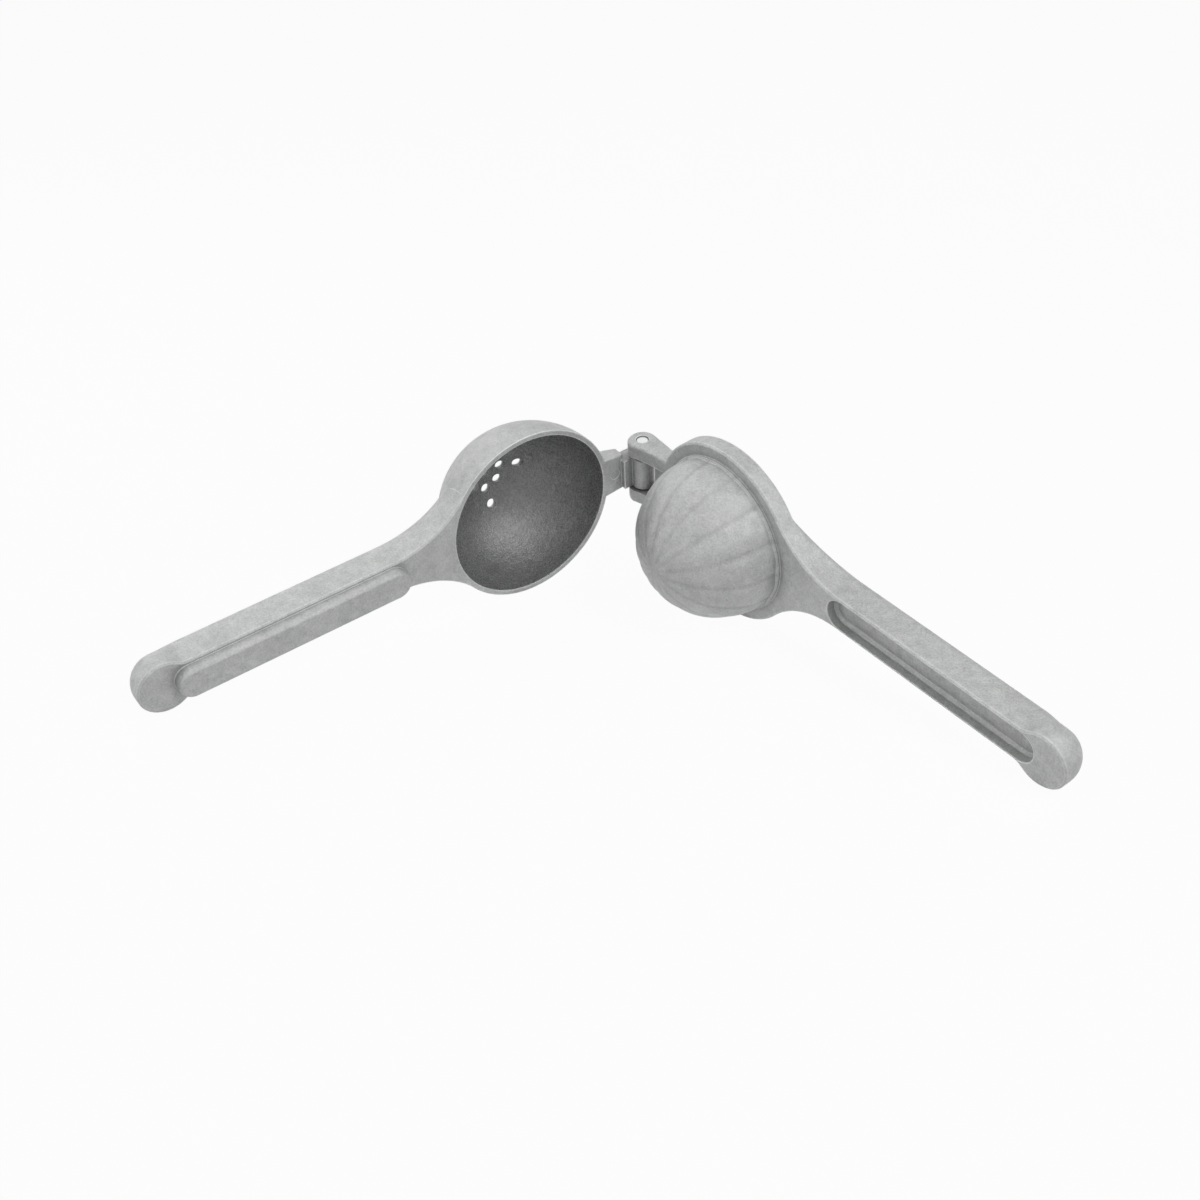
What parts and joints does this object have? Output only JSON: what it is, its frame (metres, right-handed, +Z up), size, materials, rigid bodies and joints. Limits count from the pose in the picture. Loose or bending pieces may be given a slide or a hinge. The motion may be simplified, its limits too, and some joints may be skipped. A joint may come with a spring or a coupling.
{
  "type": "hinged lemon squeezer",
  "caption": "Hinged cast-metal lemon squeezer: a pierced cup arm and a domed press arm joined by a steel pin, lying open.",
  "frame": {"origin": "middle of the tool's bounding box in plan, at the table it lies on", "axes": "+Z up from the table; +Y towards the hinge end; +X towards the press arm's handle; metres"},
  "size_m": [0.282, 0.1368, 0.0645],
  "materials": {
    "cast_aluminium": "tumbled satin casting",
    "pin_steel": "brushed"
  },
  "bodies": {
    "cup_body": {"cup_arm": "cast_aluminium"},
    "press_body": {"press_arm": "cast_aluminium", "hinge_pin": "pin_steel"}
  },
  "joints": [
    {"name": "press_hinge", "type": "hinge", "parent": "cup_body", "child": "press_body", "pos_m": [0.00198, 0.06071, 0.03935], "axis": [-0.0038, -0.2342, 0.9722], "range_deg": [-91, 75]}
  ]
}
